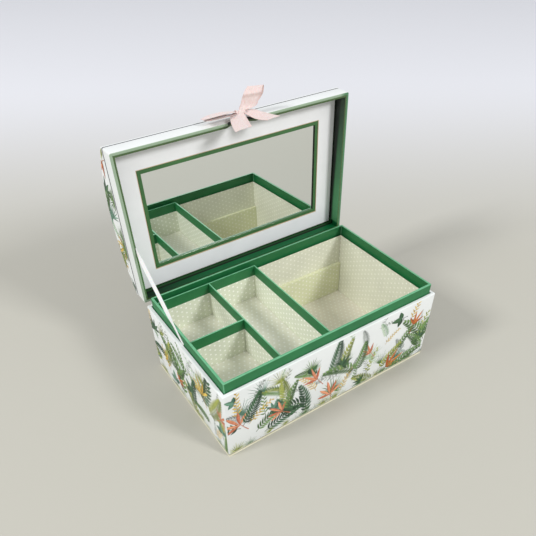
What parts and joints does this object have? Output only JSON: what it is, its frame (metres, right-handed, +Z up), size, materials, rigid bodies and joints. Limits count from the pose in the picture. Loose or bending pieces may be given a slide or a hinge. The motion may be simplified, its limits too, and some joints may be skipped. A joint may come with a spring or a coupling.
{
  "type": "vanity box with mirror",
  "caption": "Paper-covered vanity box with an arched lid that opens on a cloth hinge, a mirror inside the lid, a green collar, divided compartments and a ribbon bow.",
  "frame": {"origin": "middle of the bottom board's underside, on the surface the box stands on", "axes": "+Z up, the box opens and faces towards -Y, +X to its right; the lid stands open at rest"},
  "size_m": [0.26, 0.2057, 0.2685],
  "materials": {
    "cream_paper": "smooth matt paper over greyboard",
    "printed_paper": "white paper with a printed foliage pattern over greyboard, silk matt",
    "hinge_cloth": "fine white bookbinding cloth",
    "green_paper": "deep green matt paper over greyboard",
    "dotted_paper": "sage paper with small cream dots",
    "grey_edge": "dark grey board edge",
    "white_panel": "white card with a thin gold printed line",
    "mirror_glass": "silvered float glass",
    "greyboard": "raw greyboard",
    "white_ribbon": "narrow white satin ribbon",
    "pink_satin": "pale pink double-faced satin"
  },
  "bodies": {
    "base": {"base_board": "cream_paper", "base_wall_front": "printed_paper", "base_wall_back": "printed_paper", "base_wall_left": "printed_paper", "base_wall_right": "printed_paper", "collar_front": "green_paper", "collar_back": "green_paper", "collar_left": "green_paper", "collar_right": "green_paper", "floor_card": "dotted_paper", "lining_back": "dotted_paper", "lining_front": "dotted_paper", "lining_left": "dotted_paper", "lining_right": "dotted_paper", "insert_back": "green_paper", "insert_front": "green_paper", "insert_left": "green_paper", "insert_floor": "dotted_paper", "divider_large": "green_paper", "divider_middle": "green_paper", "divider_short": "green_paper", "ledge_back": "dotted_paper", "ledge_front": "dotted_paper", "hinge_cloth_base": "hinge_cloth", "stay_ribbon": "white_ribbon", "stay_tab_base": "white_ribbon"},
    "lid": {"hinge_cloth_lid": "hinge_cloth", "lid_wall_front": "printed_paper", "lid_wall_back": "printed_paper", "lid_wall_left": "printed_paper", "lid_wall_right": "printed_paper", "rim_card_front": "green_paper", "rim_card_back": "green_paper", "rim_card_left": "green_paper", "rim_card_right": "green_paper", "keyline_front": "grey_edge", "keyline_back": "grey_edge", "keyline_left": "grey_edge", "keyline_right": "grey_edge", "lid_arch": "printed_paper", "lid_end_left": "printed_paper", "lid_end_right": "printed_paper", "mirror_panel": "white_panel", "mirror_bezel": "green_paper", "mirror_glass": "mirror_glass", "mirror_backing": "greyboard", "stay_tab_lid": "white_ribbon", "bow_anchor": "pink_satin", "bow_knot": "pink_satin", "bow_loop_side": "pink_satin", "bow_loop_standing": "pink_satin", "bow_tail_left": "pink_satin", "bow_tail_right": "pink_satin"}
  },
  "joints": [
    {"name": "lid_hinge", "type": "hinge", "parent": "base", "child": "lid", "pos_m": [0, 0.0805, 0.08415], "axis": [1, 0, 0], "range_deg": [0, 91], "deforming": ["stay_ribbon"]}
  ]
}
